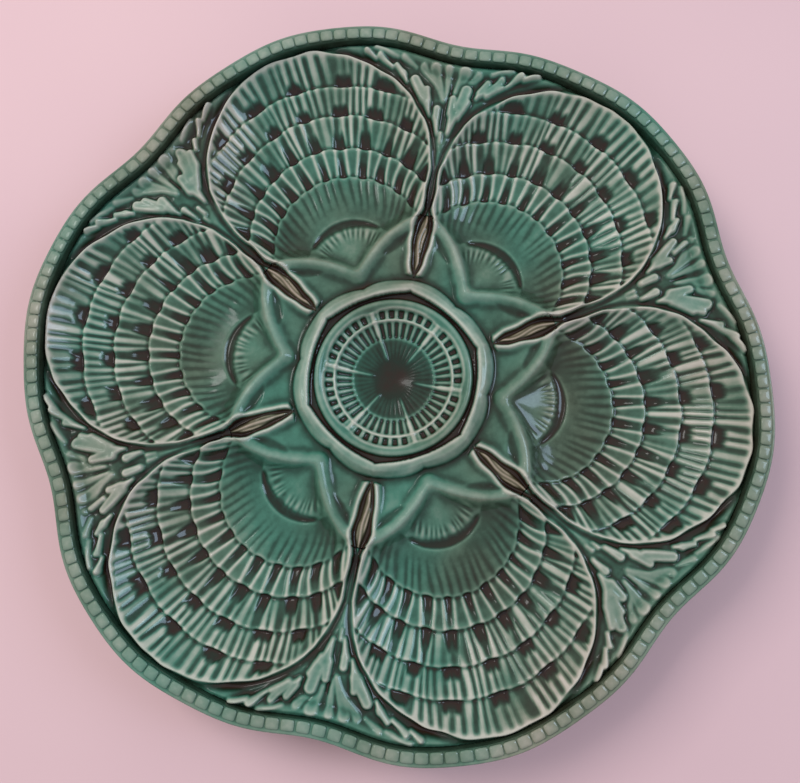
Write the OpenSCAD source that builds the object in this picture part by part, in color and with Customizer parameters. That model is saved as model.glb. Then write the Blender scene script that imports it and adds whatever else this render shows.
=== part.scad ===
// Six-well oyster plate in glazed earthenware, seen from above: six scallop
// shell wells round a fluted sauce well, with leaf sprays and buds between.
// The origin is the middle of the foot's lowest face, a well points along -Y.

/* [Plate] */
// Largest width, across two opposite lobes of the rim
plate_w = 245; // [238:1:260]
// Height from the table to the top of the rim beads
plate_h = 26; // [25:0.5:30]
// Swell of each lobe of the rim beyond its mean circle
lobe_swell = 3.3; // [2.4:0.1:4]
// Lean of each lobe, which makes one side of a notch steeper
lobe_lean = 0.6; // [0:0.1:1]
// Extra pinch of the rim at each notch
notch_pinch = 0.7; // [0:0.1:1]
// Wall thickness under the shell edges and the leaf ground
wall_t = 4.6; // [4:0.2:6]

/* [Foot] */
// Outer diameter of the foot ring
foot_d = 128; // [116:1:136]
// Width of the foot ring
foot_w = 7; // [5:0.5:9]
// Height of the foot ring
foot_h = 4.6; // [4.2:0.1:6]

/* [Rim] */
// Width of the rim border
rim_w = 4.8; // [4.2:0.1:6]
// Distance from one rim bead to the next
bead_pitch = 4.5; // [3.8:0.1:6]
// Gap from one bead to the next
bead_gap = 0.5; // [0.4:0.1:1.6]
// Height of a bead
bead_h = 1.2; // [0.8:0.1:1.6]
// Width of the bare roll outside the beads
roll_w = 1.1; // [0.9:0.1:1.8]
// Width of the bare strip inside the beads
strip_w = 0.4; // [0.3:0.1:1]

/* [Ground] */
// Height of the leaf ground inside the rim
shelf_z = 20.4; // [19:0.2:21.4]
// Height of the ground round the collar
hub_z = 13; // [12:0.2:14]
// Width of the groove between two neighbouring shells
groove_w = 2.8; // [2:0.1:4]
// Gap between a shell's outer edge and the rim
edge_gap = 0.8; // [0.4:0.1:1.4]

/* [Shell wells] */
// Gap from the circle round the collar's petals to a shell's beak
beak_gap = 2.9; // [2.2:0.1:5]
// Height of a shell's edge at the beak
beak_z = 16; // [15:0.2:17]
// Height of a shell's edge next to the rim
tip_z = 22.6; // [21.6:0.2:23.6]
// Depth of a well below its edge
well_depth = 9.5; // [7:0.5:10]
// Height of the step from one band of a shell down to the next
step_h = 1.1; // [0.6:0.1:1.6]
// Depth of the grooves between the ribs
rib_h = 0.9; // [0.4:0.1:1.4]
// Number of ribs across a shell
rib_count = 11; // [9:1:13]

/* [Centre] */
// Height of the sauce well's own rim
sauce_z = 15.4; // [14.6:0.2:16]
// Height of the sauce well's floor
sauce_floor_z = 8.4; // [8:0.2:9.6]
// Radius of the collar at the tip of a petal
petal_r = 34.8; // [34:0.1:36]
// Depth of the notch between two petals
petal_notch = 3.2; // [2:0.1:3.4]
// Width of the collar from a cusp to the tip of a petal
collar_w = 5.2; // [4.8:0.1:5.8]
// Ground between the sauce well's edge and a notch of the collar
sauce_seat = 0.6; // [0.3:0.1:0.9]
// Depth of each arc between two cusps
cusp_depth = 1.8; // [1:0.1:2]
// Height of the collar's crest
collar_z = 17; // [16:0.2:18]
// Number of flutes round the sauce well's floor
flute_count = 45; // [30:1:48]
// Number of cells in the ring above the flutes
cell_count = 42; // [30:1:48]
// Depth of the flutes and the cells
flute_h = 0.8; // [0.4:0.1:1]

/* [Buds and leaves] */
// Clearance from a bud's side to the shells beside it
bud_clear = 0.1; // [0.1:0.1:1]
// Clearance from a bud's outer point to the shells beside it
point_clear = 0.7; // [0.5:0.1:1.2]
// Gap from the collar to the bud's inner point
bud_gap = 0.9; // [0.5:0.1:2]
// Height of a bud above the ground round the collar
bud_h = 3; // [2.2:0.1:3.6]
// Height of a leaf above the leaf ground
leaf_h = 2.1; // [1.4:0.1:2.4]

/* [Hidden] */
$fn = 96;

// Counts and angles
lobe_count = 6;
sector_a = 360 / lobe_count;
rim_steps = 90;
petal_steps = 96;
nose_a = 40;
ear_a = 64;
facets_per_rib = 4;

// The rim's outline, from a notch at angle zero
notch_sharp = 0.6 * notch_pinch;
rim_mean = plate_w / 2 - lobe_swell + notch_pinch - notch_sharp;
function rim_wave(a) = -lobe_swell * cos(lobe_count * a)
  + lobe_lean * sin(lobe_count * a)
  - notch_pinch * cos(2 * lobe_count * a)
  - notch_sharp * cos(3 * lobe_count * a);
function outline_r(a) = rim_mean + rim_wave(a);
function at(r, a) = [r * cos(a), r * sin(a)];
function rim_inner() = [for (k = [0 : rim_steps - 1])
  let (a = 360 * k / rim_steps) at(outline_r(a) - rim_w, a)];

// Sizes that follow from the ones above
bead_l = bead_pitch - bead_gap;
bead_w = rim_w - roll_w - strip_w;
beak_r = petal_r + beak_gap;
cusp_r = petal_r - collar_w;
sauce_r = petal_r - petal_notch - sauce_seat;
mouth_r = cusp_r - cusp_depth;

// Heights
bead_z = plate_h - bead_h;
shelf_base_z = shelf_z - wall_t;
under_share = 0.28;

// The underside, which is level inside the foot and then climbs to the rim
foot_seat_r = foot_d / 2 + foot_w / 2;
under_r = [foot_seat_r, foot_seat_r + foot_w, plate_w / 2 - 5 * foot_w, plate_w / 2];
under_h = [foot_h, foot_h + wall_t, shelf_base_z - wall_t * under_share, shelf_base_z];
function under_z(r) = lookup(r, [for (k = [0 : 3]) [under_r[k], under_h[k]]]);

// The upper side of the ground: a level ring, a groove and the leaf shelf
hub_r = petal_r + bud_gap / 3;
ground_reach = plate_w / 2 - hub_r;
ground_shares = [[0, 0], [0.26, 0.08], [0.46, 0.42], [0.7, 1], [1, 1]];
ground_r = [for (s = ground_shares) hub_r + s[0] * ground_reach];
ground_h = [for (s = ground_shares) hub_z + s[1] * (shelf_z - hub_z)];
function ground_z(r) = lookup(r, [for (k = [0 : 4]) [ground_r[k], ground_h[k]]]);
over = wall_t;

// One shell, in a frame whose Y axis runs from the plate's centre to the rim
shell_tip = outline_r(sector_a / 2) - rim_w - edge_gap;
shell_low = beak_r + edge_gap;
shell_r = (shell_tip - shell_low) / 2;
shell_c = (shell_tip + shell_low) / 2;
throat = shell_c - beak_r;
function round_reach(a) = throat * cos(a)
  + sqrt(pow(shell_r, 2) - pow(throat * sin(a), 2));
function side_reach(a) = (beak_r / 2 - groove_w / 2) / sin(abs(a) - sector_a / 2);
function reach(a) = abs(a) < sector_a * 0.6 ? round_reach(a)
  : min(round_reach(a), side_reach(a));

// Rings across a shell, as shares of its length along the middle
ring_shares = [0, 0.272, 0.458, 0.588, 0.728, 0.846, 1];
ring_bow = 0.22;
ring_gap = 0.9 * step_h;
last_ring = len(ring_shares) - 1;
ear_reach = reach(ear_a);
function spread(r) = nose_a + (ear_a - nose_a) * pow(min(1, r / ear_reach), 1.15);
function ring_a(k, u) = u * spread(ring_shares[k] * reach(0));
function ring_r(k, u) = let (a = ring_a(k, u))
  k == 0 ? 0 : k == last_ring ? reach(a)
  : min(ring_shares[k] * reach(0) * (1 - ring_bow * pow(a / 60, 2)),
    reach(a) - (last_ring - k) * ring_gap);

// Rows of a shell: ring before it, share of the way to the next ring,
// relief as a share of the step, and groove depth as a share of the rib
row_shares = [
  [0, 0.45, 1.1, 0], [0, 0.84, -1.1, 0.3], [0, 1, 0.8, 0],
  [1, 0.1, 0.2, 0.2], [1, 1, 0.5, 0.15],
  [2, 0.1, -0.5, 1], [2, 0.55, 0.1, 0.55], [2, 1, 0.5, 0.15],
  [3, 0.1, -0.5, 1], [3, 1, 0.5, 0.15],
  [4, 0.1, -0.5, 1], [4, 1, 0.5, 0.15],
  [5, 0.1, -0.5, 1], [5, 0.5, 0, 0.6], [5, 0.92, 0.9, 0.2], [5, 1, 0, 0]];
rows = len(row_shares);
cols = rib_count * facets_per_rib;
function row_r(j, u) = let (k = row_shares[j][0], t = row_shares[j][1])
  ring_r(k, u) + t * (ring_r(k + 1, u) - ring_r(k, u));
function row_a(j, u) = let (k = row_shares[j][0], t = row_shares[j][1])
  k == 0 ? ring_a(1, u) * (0.8 + 0.2 * t)
  : ring_a(k, u) + t * (ring_a(k + 1, u) - ring_a(k, u));

// Height of a shell's plain hollow: its edge climbs from the beak to the tip
function edge_z(y) = beak_z + (tip_z - beak_z) * (y - beak_r) / (shell_tip - beak_r);
function hollow(u, v) = pow(max(0, 4 * v * (1 - v)), 0.7) * pow(1 - pow(abs(u), 3.2), 0.8);
function shell_z(j, u) = let (
    r = row_r(j, u), a = row_a(j, u), s = row_shares[j],
    band = ring_r(s[0] + 1, u) - ring_r(s[0], u),
    fade = min(1, band / (5 * step_h)) * (abs(u) == 1 ? 0.5 : 1),
    wave = (1 - cos(u * 180 * rib_count)) / 2)
  edge_z(beak_r + r * cos(a)) - well_depth * hollow(u, r / reach(row_a(j, u)))
  + fade * (step_h * s[2] - rib_h * s[3] * wave);
function shell_xy(j, u) = let (r = row_r(j, u), a = row_a(j, u))
  [r * sin(a), beak_r + r * cos(a)];
function shell_u(i) = 2 * i / cols - 1;

// The shell's plan, once round from the beak by the right side
function shell_edge() = concat([[0, beak_r]],
  [for (j = [0 : rows - 2]) shell_xy(j, 1)],
  [for (i = [cols : -1 : 0]) shell_xy(rows - 1, shell_u(i))],
  [for (j = [rows - 2 : -1 : 0]) shell_xy(j, -1)]);

// Turns a shell's frame to its place in the plate
module in_sector(k) { rotate(sector_a * k - sector_a) children(); }
module on_notch(k) { rotate(sector_a * (k - 1)) children(); }

// A closed shell well: stepped and ribbed above, smooth below
module shell_well(k) {
  edge = shell_edge();
  n = len(edge);
  inner_share = 0.62;
  front = [for (j = [0 : rows - 1]) for (i = [0 : cols])
    let (u = shell_u(i), p = shell_xy(j, u)) [p[0], p[1], shell_z(j, u)]];
  back = [for (p = edge) [p[0], p[1], under_z(norm(p))]];
  belly = [for (p = edge) let (q = [0, shell_c] + inner_share * (p - [0, shell_c]))
    [q[0], q[1], foot_h]];
  f0 = 1;
  b0 = f0 + rows * (cols + 1);
  m0 = b0 + n;
  mid = m0 + n;
  top_edge = concat([0], [for (j = [0 : rows - 2]) f0 + j * (cols + 1) + cols],
    [for (i = [cols : -1 : 0]) f0 + (rows - 1) * (cols + 1) + i],
    [for (j = [rows - 2 : -1 : 0]) f0 + j * (cols + 1)]);
  points = concat([[0, beak_r, beak_z]], front, back, belly, [[0, shell_c, foot_h]]);
  faces = concat(
    [for (i = [0 : cols - 1]) [0, f0 + i, f0 + i + 1]],
    [for (j = [0 : rows - 2]) for (i = [0 : cols - 1]) for (h = [0, 1])
      let (p = f0 + j * (cols + 1) + i, q = p + cols + 1)
      h == 0 ? [p, q, q + 1] : [p, q + 1, p + 1]],
    [for (e = [0 : n - 1]) for (h = [0, 1]) let (g = (e + 1) % n)
      h == 0 ? [top_edge[e], top_edge[g], b0 + g] : [top_edge[e], b0 + g, b0 + e]],
    [for (e = [0 : n - 1]) for (h = [0, 1]) let (g = (e + 1) % n)
      h == 0 ? [b0 + e, b0 + g, m0 + g] : [b0 + e, m0 + g, m0 + e]],
    [for (e = [0 : n - 1]) [m0 + e, m0 + (e + 1) % n, mid]]);
  color("darkseagreen") in_sector(k)
    polyhedron(points = points, faces = faces, convexity = 6);
}

// A bud's almond plan along the Y axis, at a share of its full size. It fills
// the space between two shells, less its clearances, out to where they close in
axis_off = shell_c * sin(sector_a / 2);
bud_in = petal_r + bud_gap;
bud_out = shell_c * cos(sector_a / 2)
  - sqrt(max(0, pow(shell_r + point_clear, 2) - pow(axis_off, 2)));
bud_l = bud_out - bud_in;
bud_steps = 12;
function bud_swell(t) = pow(sin(180 * pow(t, 1.3)), 1.15);
function bud_room(t) = let (y = bud_in + t * bud_l, far = shell_c * cos(sector_a / 2) - y)
  norm([far, axis_off]) - shell_r - bud_clear;
half_w = min([for (m = [2 : bud_steps - 2]) let (t = m / bud_steps) bud_room(t) / bud_swell(t)]);
function bud_half(t) = half_w * bud_swell(t);
function bud_plan(share) = let (c = bud_in + 0.55 * bud_l)
  concat([for (m = [0 : bud_steps]) let (t = m / bud_steps)
      [share * bud_half(t), c + share * (bud_in + t * bud_l - c)]],
    [for (m = [bud_steps - 1 : -1 : 1]) let (t = m / bud_steps)
      [-share * bud_half(t), c + share * (bud_in + t * bud_l - c)]]);
bud_sink = 0.5 * leaf_h / 2;

// The bud's kernel lies in a low frame, as a seed in its husk
module bud(k) {
  frame_h = 0.75 * bud_h + bud_sink;
  base_h = 0.3 * bud_h + bud_sink;
  round_r = pow(bud_l, 2) / (5 * bud_h);
  color("saddlebrown") on_notch(k) rotate(-90) translate([0, 0, hub_z - bud_sink]) {
    difference() {
      linear_extrude(frame_h) polygon(bud_plan(1));
      translate([0, 0, base_h]) linear_extrude(bud_h + over) polygon(bud_plan(0.8));
    }
    intersection() {
      linear_extrude(bud_h + bud_sink) polygon(bud_plan(0.56));
      translate([0, bud_in + 0.55 * bud_l, bud_h + bud_sink - round_r])
        sphere(round_r);
    }
  }
}

// The ground that carries the rest: a hub, six grooved arms and the leaf shelf
module plate_body() {
  profile = concat(
    [[sauce_r, foot_h]],
    [for (k = [0 : 2]) [under_r[k], under_h[k]]],
    [[under_r[3], under_h[3]]],
    [for (k = [4 : -1 : 0]) [ground_r[k], ground_h[k]]], [[sauce_r, hub_z]]);
  color("seagreen") difference() {
    intersection() {
      rotate(sector_a / 2) rotate_extrude() polygon(profile);
      linear_extrude(plate_h) polygon(rim_inner());
    }
    for (k = [1 : lobe_count]) {
      in_sector(k) translate([0, 0, -over])
        linear_extrude(plate_h + 2 * over) polygon(shell_edge());
      on_notch(k) rotate(-90) translate([0, 0, hub_z - bud_sink])
        linear_extrude(plate_h) polygon(bud_plan(1));
    }
  }
}

// The ring that the plate stands on, with a flat wiped edge
module foot_ring() {
  ease = foot_w / 5;
  color("beige") rotate_extrude() polygon([
    [foot_d / 2 - foot_w + ease, 0], [foot_d / 2 - ease, 0],
    [foot_d / 2 - ease / 4, ease / 2], [foot_d / 2, 2 * ease], [foot_d / 2, foot_h],
    [foot_d / 2 - foot_w, foot_h], [foot_d / 2 - foot_w, 2 * ease],
    [foot_d / 2 - foot_w + ease / 4, ease / 2]]);
}

// The lobed border: its section swept along the outline
module rim_border() {
  crown = roll_w / 2;
  section = [[-rim_w, shelf_base_z], [-rim_w, bead_z - crown],
    [crown - rim_w, bead_z], [-roll_w, bead_z], [-crown, bead_z - crown / 4],
    [-crown / 8, bead_z - 1.4 * crown], [-crown / 4, bead_z - 3 * crown],
    [-0.45 * rim_w, shelf_base_z + crown / 2]];
  m = len(section);
  points = [for (k = [0 : rim_steps - 1]) for (s = section)
    let (a = 360 * k / rim_steps, p = at(outline_r(a) + s[0], a)) [p[0], p[1], s[1]]];
  faces = [for (k = [0 : rim_steps - 1]) for (s = [0 : m - 1]) for (h = [0, 1])
    let (p = k * m, q = ((k + 1) % rim_steps) * m, t = (s + 1) % m)
    h == 0 ? [p + s, p + t, q + t] : [p + s, q + t, q + s]];
  color("darkgreen") polyhedron(points = points, faces = faces, convexity = 8);
}

// Low rounded blocks side by side on the rim
bead_count = lobe_count * floor(2 * PI * (rim_mean - rim_w / 2) / bead_pitch / lobe_count);
bead_round = (pow(bead_l / 2, 2) + pow(bead_h, 2)) / (2 * bead_h);
module bead() {
  rotate([90, 0, 90]) linear_extrude(bead_w) intersection() {
    translate([0, bead_h - bead_round]) circle(bead_round);
    translate([-bead_l / 2, 0]) square([bead_l, bead_h]);
  }
}
module rim_beading() {
  color("palegoldenrod") for (k = [0 : bead_count - 1]) {
    a = 360 * (k + 0.5) / bead_count;
    turn = atan2(outline_r(a + 1) - outline_r(a - 1), outline_r(a) * PI / 90);
    translate(concat(at(outline_r(a) - roll_w - bead_w, a), bead_z))
      rotate(a - turn) bead();
  }
}

// A lobed leaf along the Y axis
leaf_steps = 9;
function leaf_half(t, w, lobes) = w / 2 * pow(sin(180 * pow(t, 0.85)), 0.8)
  * (1 + 0.22 * cos(360 * lobes * t + 180));
function leaf_plan(l, w, lobes) = concat(
  [for (m = [0 : leaf_steps]) let (t = m / leaf_steps) [leaf_half(t, w, lobes), l * t]],
  [for (m = [leaf_steps - 1 : -1 : 1]) let (t = m / leaf_steps)
    [-leaf_half(t, w, lobes), l * t]]);

// Leaves of one spray: place across and outwards, turn, length, width, as
// shares of the spray's length, and the number of lobes
spray_r0 = ground_r[2] + 0.12 * (outline_r(0) - ground_r[2]);
spray_l = outline_r(0) - rim_w - spray_r0;
leaf_shares = [
  [0.12, 0.38, -22, 0.52, 0.34, 3], [-0.17, 0.42, 25, 0.5, 0.3, 3],
  [0.02, 0.24, -5, 0.24, 0.12, 1], [-0.13, 0.2, 14, 0.24, 0.1, 1],
  [0, 0.02, 0, 0.19, 0.08, 1], [0.48, 0.76, -66, 0.54, 0.2, 2],
  [-0.46, 0.74, 64, 0.48, 0.19, 2], [0.98, 0.92, -76, 0.32, 0.11, 1],
  [-0.9, 0.89, 76, 0.32, 0.11, 1]];
module leaf(place, turn, l, w, lobes) {
  middle = place + l / 2 * [-sin(turn), cos(turn)];
  round_r = pow(l, 2) / (5 * leaf_h);
  crest_z = ground_z(norm(middle)) + leaf_h;
  intersection() {
    translate([place[0], place[1], hub_z]) rotate(turn)
      linear_extrude(plate_h - hub_z) polygon(leaf_plan(l, w, lobes));
    translate([middle[0], middle[1], crest_z - round_r]) sphere(round_r);
  }
}
module leaf_spray(k) {
  side = k % 2 == 0 ? 1 : -1;
  color("lightgreen") on_notch(k) rotate(-90) difference() {
    intersection() {
      union() {
        for (s = leaf_shares)
          leaf([side * s[0] * spray_l, spray_r0 + s[1] * spray_l], side * s[2],
            s[3] * spray_l, s[4] * spray_l, s[5]);
      }
      linear_extrude(plate_h) rotate(90) polygon(rim_inner());
    }
    rotate_extrude() polygon(concat([[0, 0], [under_r[3], 0], [under_r[3], shelf_z]],
      [for (k = [4 : -1 : 0]) [ground_r[k], ground_h[k]]], [[0, hub_z]]));
    for (side = [-1, 1]) rotate(side * sector_a / 2) translate([0, 0, -over])
      linear_extrude(plate_h + 2 * over) polygon(shell_edge());
  }
}

// The ring of six petals round the sauce well
module centre_collar() {
  crest_r = cusp_r + petal_notch / 4;
  petals = [for (k = [0 : petal_steps - 1]) let (a = 360 * k / petal_steps)
    at(petal_r - petal_notch * (1 - pow(abs(cos(lobe_count / 2 * a)), 0.5)), a)];
  cusps = [for (k = [0 : petal_steps - 1]) let (a = 360 * k / petal_steps)
    at(cusp_r - cusp_depth * pow(abs(sin(lobe_count / 2 * a)), 0.6), a)];
  color("palegoldenrod") difference() {
    intersection() {
      rotate_extrude() polygon([[cusp_r / 2, hub_z], [petal_r + over, hub_z],
        [petal_r, hub_z + 0.35 * (collar_z - hub_z)],
        [(petal_r + crest_r) / 2, hub_z + 0.8 * (collar_z - hub_z)],
        [crest_r, collar_z], [cusp_r / 2, collar_z - cusp_depth / 2]]);
      linear_extrude(plate_h) polygon(petals);
    }
    translate([0, 0, -over]) linear_extrude(plate_h + 2 * over) polygon(cusps);
  }
}

// The fluted sauce well: a round bowl in steps, from its rim to its floor,
// as shares of its mouth's radius and of its depth
sauce_shares = [[0.97, 0.8], [0.942, 0.97], [0.903, 1], [0.875, 0.94], [0.853, 0.84],
  [0.825, 0.72], [0.742, 0.6], [0.719, 0.66], [0.697, 0.52], [0.524, 0.2],
  [0.507, 0.23], [0.491, 0.16], [0.223, 0.06], [0, 0]];
function bowl_z(share) = sauce_floor_z + (sauce_z - sauce_floor_z) * lookup(share, sauce_shares);

// A ring of tapered pockets in the bowl's wall: their inner and outer ends as
// shares of the mouth's radius, and their width as a share of their pitch
flute_shares = [0.535, 0.685, 0.5];
cell_shares = [0.752, 0.818, 0.6];
module pockets(count, shares) {
  half = 180 / count * shares[2];
  points = [for (lift = [-flute_h, over]) for (p = [[0, -1], [1, -1], [1, 1], [0, 1]])
    let (q = at(shares[p[0]] * mouth_r, p[1] * half)) [q[0], q[1], bowl_z(shares[p[0]]) + lift]];
  for (k = [0 : count - 1]) rotate(360 * k / count)
    polyhedron(points = points, faces = [[0, 1, 2, 3], [4, 5, 1, 0], [7, 6, 5, 4],
      [5, 6, 2, 1], [6, 7, 3, 2], [7, 4, 0, 3]], convexity = 2);
}
module sauce_well() {
  wall = [for (s = sauce_shares) [s[0] * mouth_r, bowl_z(s[0])]];
  color("olivedrab") difference() {
    rotate_extrude() polygon(concat(
      [[0, foot_h], [sauce_r, foot_h], [sauce_r, hub_z], [0.99 * mouth_r, hub_z]], wall));
    pockets(flute_count, flute_shares);
    pockets(cell_count, cell_shares);
  }
}

plate_body();
foot_ring();
rim_border();
rim_beading();
shell_well(1);  // shell_well_1
shell_well(2);  // shell_well_2
shell_well(3);  // shell_well_3
shell_well(4);  // shell_well_4
shell_well(5);  // shell_well_5
shell_well(6);  // shell_well_6
leaf_spray(1);  // leaf_spray_1
leaf_spray(2);  // leaf_spray_2
leaf_spray(3);  // leaf_spray_3
leaf_spray(4);  // leaf_spray_4
leaf_spray(5);  // leaf_spray_5
leaf_spray(6);  // leaf_spray_6
bud(1);  // bud_1
bud(2);  // bud_2
bud(3);  // bud_3
bud(4);  // bud_4
bud(5);  // bud_5
bud(6);  // bud_6
centre_collar();
sauce_well();
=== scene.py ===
import math

import bpy
import numpy as np
from mathutils import Matrix, Vector


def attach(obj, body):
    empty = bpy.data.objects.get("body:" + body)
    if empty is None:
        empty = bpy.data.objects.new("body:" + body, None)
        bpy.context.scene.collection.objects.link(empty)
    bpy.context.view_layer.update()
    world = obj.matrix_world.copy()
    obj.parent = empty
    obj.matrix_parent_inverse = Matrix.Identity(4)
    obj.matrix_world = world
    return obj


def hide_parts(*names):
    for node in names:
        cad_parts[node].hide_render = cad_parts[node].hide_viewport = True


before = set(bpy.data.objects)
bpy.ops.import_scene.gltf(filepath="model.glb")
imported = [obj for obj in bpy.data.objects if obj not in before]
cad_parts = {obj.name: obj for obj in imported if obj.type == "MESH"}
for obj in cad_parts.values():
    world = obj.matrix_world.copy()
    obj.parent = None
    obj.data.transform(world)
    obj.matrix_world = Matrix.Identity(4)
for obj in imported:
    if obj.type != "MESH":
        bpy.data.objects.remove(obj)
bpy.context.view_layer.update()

mm = 0.001
lobes = 6
sector = math.pi / 3
seed = 7
farOutside = -9.0

# the plate's outline and its heights, in millimetres
plate = dict(hub=13.0, skin=1.2, inset=0.16)
rim = dict(mean=119.48, swell=3.3, lean=0.6, pinch=0.7, sharp=0.6, width=4.8, steps=1080)
foot = dict(outer=64.0, height=4.6, steps=360)

# one scallop shell, its beak towards the plate's middle
shell = dict(beak=37.7, middle=77.7, radius=39.2, beakHeight=16.0, tipHeight=23.1, depth=9.5,
             groove=2.8, step=1.15, lip=0.35, columns=280, rows=200)
ringRadii = [21.5, 37.2, 47.6, 58.8, 68.2]
ringBow = 0.22
fanLift = 7.0

# its four rings of tiles, from the inner one outwards: their pitch in degrees, their gaps and their ribs
tiles = [dict(pitch=12.0, half=1.2, reach=4.0, depth=0.9, ribs=2, wander=0.45, closing=0.72, ease=3.5),
         dict(pitch=12.0, half=1.85, reach=3.7, depth=1.1, ribs=3, wander=0.45, closing=0.72, ease=3.5),
         dict(pitch=13.6, half=2.4, reach=2.8, depth=1.1, ribs=5, wander=0.45, closing=1.0, ease=1.7),
         dict(pitch=15.0, half=2.9, reach=2.8, depth=1.1, ribs=5, wander=0.7, closing=1.0, ease=1.7)]

print("stage: sizes")


def smooth(x, low=0.0, high=1.0):
    t = np.clip((x - low) / (high - low), 0.0, 1.0)
    return t * t * (3 - 2 * t)


def bump(x, middle, width):
    return np.exp(-((x - middle) / width) ** 2)


def outlineRadius(a):  # a is measured from a notch of the rim
    return (rim["mean"] - plate["inset"] - rim["swell"] * np.cos(lobes * a)
            + rim["lean"] * np.sin(lobes * a) - rim["pinch"] * np.cos(2 * lobes * a)
            - rim["sharp"] * rim["pinch"] * np.cos(3 * lobes * a))


def outlineSlope(a):
    return (lobes * (rim["swell"] * np.sin(lobes * a) + rim["lean"] * np.cos(lobes * a)
                     + 2 * rim["pinch"] * np.sin(2 * lobes * a)
                     + 3 * rim["sharp"] * rim["pinch"] * np.sin(3 * lobes * a)) / outlineRadius(a))


def wobble(x, y, size, number):  # a smooth unevenness, as a hand-cut mould has
    draw = np.random.default_rng(seed + number)
    total = 0.0
    for turn in draw.uniform(0, 2 * math.pi, 7):
        wave = 2 * math.pi / (size * draw.uniform(0.7, 1.6))
        total = total + np.sin(wave * (x * math.cos(turn) + y * math.sin(turn)) + draw.uniform(0, 6.28))
    return total / 3.0


def reach(a):  # from the beak to the shell's outline
    throat = shell["middle"] - shell["beak"]
    a = np.abs(a)
    far = throat * np.cos(a) + np.sqrt(np.maximum(shell["radius"] ** 2 - (throat * np.sin(a)) ** 2, 0))
    side = (shell["beak"] / 2 - shell["groove"] / 2) / np.sin(np.maximum(a - sector / 2, 0.1))
    return np.where(a < 0.6 * sector, far, np.minimum(far, side))


earAngle = math.radians(64)
earReach = float(reach(earAngle))
fanRadii = [0, 17.46, 27.19, earReach]
fanAngles = np.radians([44.5, 55.7, 64, 64])


def fanAngle(r):  # half the shell's opening at a distance from the beak
    return np.interp(r, fanRadii, fanAngles)


def groundHeight(r):  # between the wells, from the hub out to the shelf
    return np.interp(r, [35.1, 57.8, 75.3, 96.3, 122.5], [13.0, 13.6, 16.1, 20.4, 20.4])


def underHeight(x, y):  # the back: level inside the foot, climbing to the rim, bulging under each well
    r = np.hypot(x, y)
    plain = np.interp(r, [0, 67.5, 74.5, 87.5, 117.5, 130], [4.6, 4.6, 9.2, 14.5, 15.8, 15.8])
    a = np.arctan2(y, x)
    a = a - sector * np.round((a - sector / 2) / sector) - sector / 2
    wx, wy = r * np.sin(a), r * np.cos(a)
    inside = 1 - np.hypot(wx, wy - shell["middle"]) / shell["radius"]
    return plain - (plain - foot["height"]) * smooth(inside, 0.0, 0.42)


# a height map of the whole upper side, as the plate's mould gives it
mapPitch = 0.2
mapHalf = 124.0
mapAxis = np.arange(-mapHalf, mapHalf + mapPitch / 2, mapPitch)
mapX, mapY = np.meshgrid(mapAxis, mapAxis)
mapR = np.hypot(mapX, mapY)
mapA = np.arctan2(mapY, mapX)
podTurn = np.round(mapA / sector)
podA = mapA - sector * podTurn
podIndex = (podTurn % lobes).astype(int)
wellTurn = np.round((mapA - sector / 2) / sector)
wellA = mapA - sector / 2 - sector * wellTurn
podX, podY = -mapR * np.sin(podA), mapR * np.cos(podA)
wellX, wellY = -mapR * np.sin(wellA), mapR * np.cos(wellA)


def distanceOf(raw):  # turns a rough inside measure into millimetres
    gy, gx = np.gradient(raw, mapPitch)
    return raw / np.maximum(np.hypot(gx, gy), 0.25)


def soften(heights, size):  # a Gaussian blur, size in millimetres
    n = heights.shape[0]
    wave = np.fft.fftfreq(n)[:, None] ** 2 + np.fft.rfftfreq(n)[None, :] ** 2
    keep = np.exp(-2 * (math.pi * size / mapPitch) ** 2 * wave)
    return np.fft.irfft2(np.fft.rfft2(heights) * keep, s=heights.shape)


def ringAt(number, a):  # a ring of the shell, drawn in at its sides
    flat = 1 - ringBow * (np.degrees(np.abs(a)) / 60) ** 2
    return ringRadii[number] * flat


def tilePhase(a, pitch):  # 0 on a groove, 1 half way to the next
    p = np.degrees(a) / pitch
    return 2 * np.abs(p - np.round(p))


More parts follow.
